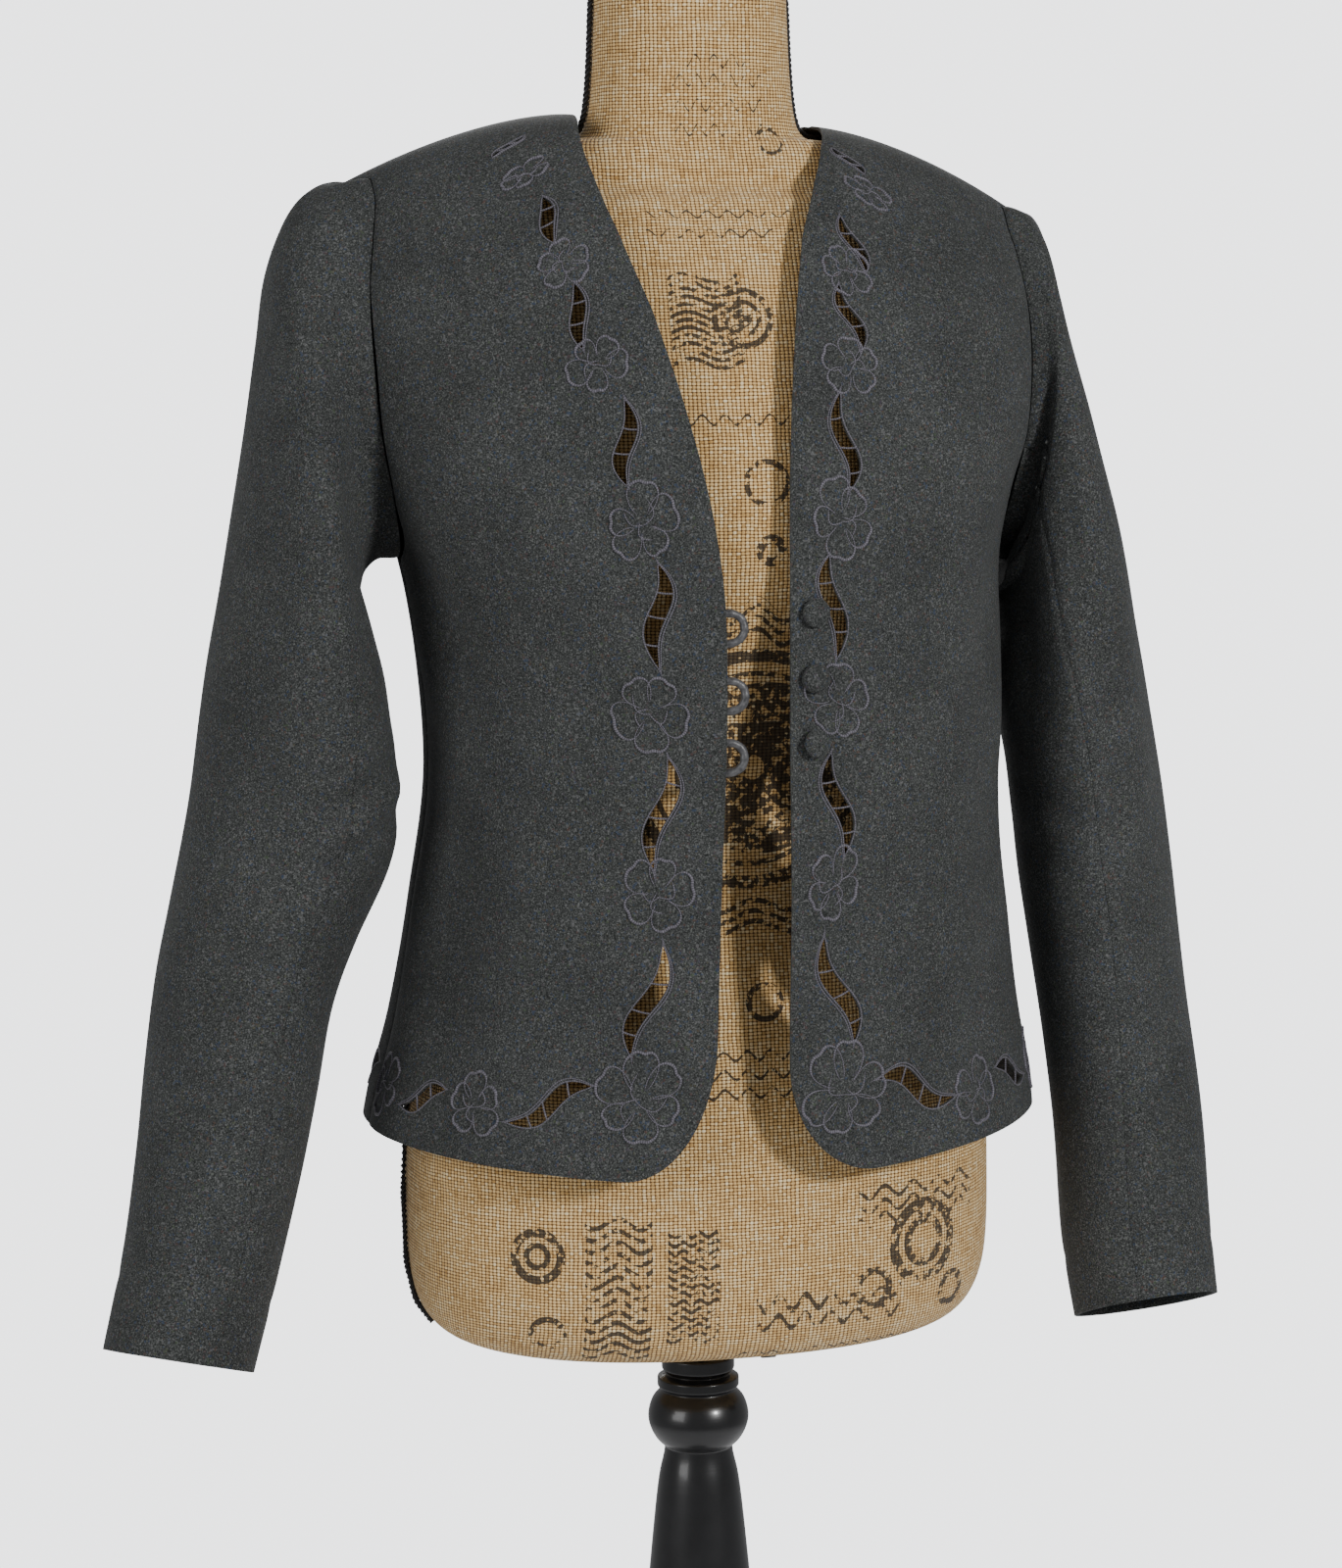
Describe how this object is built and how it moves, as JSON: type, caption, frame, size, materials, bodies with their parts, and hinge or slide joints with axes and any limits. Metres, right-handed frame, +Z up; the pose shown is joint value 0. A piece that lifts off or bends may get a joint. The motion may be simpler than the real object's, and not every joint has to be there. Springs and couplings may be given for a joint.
{
  "type": "embroidered blazer on a dress form",
  "caption": "Collarless open-front wool jacket with a cutwork flower and leaf border, worn by a limbless burlap dress form on a turned black wooden stand.",
  "frame": {"origin": "middle of the stand's underside, on the floor", "axes": "+Z up, -Y is the jacket's front, +X is the wearer's left"},
  "size_m": [0.6234, 0.3, 1.4775],
  "materials": {
    "wool": "heathered charcoal wool flannel, softly brushed",
    "button": "buttons covered in the same wool",
    "loop": "rolled tubes of dark satin cloth",
    "burlap": "natural burlap with a faded brown print of rings and wavy lines",
    "piping": "black twisted cord",
    "lacquer": "turned wood in black satin lacquer"
  },
  "bodies": {
    "root": {"front_right": "wool", "front_left": "wool", "back": "wool", "sleeve_upper_right": "wool", "sleeve_under_right": "wool", "sleeve_upper_left": "wool", "sleeve_under_left": "wool", "button_1": "button", "button_2": "button", "button_3": "button", "button_loop_1": "loop", "button_loop_2": "loop", "button_loop_3": "loop", "form_body": "burlap", "form_piping_right": "piping", "form_piping_left": "piping", "stand_column": "lacquer", "stand_base": "lacquer", "form_peg": "lacquer"}
  },
  "joints": []
}
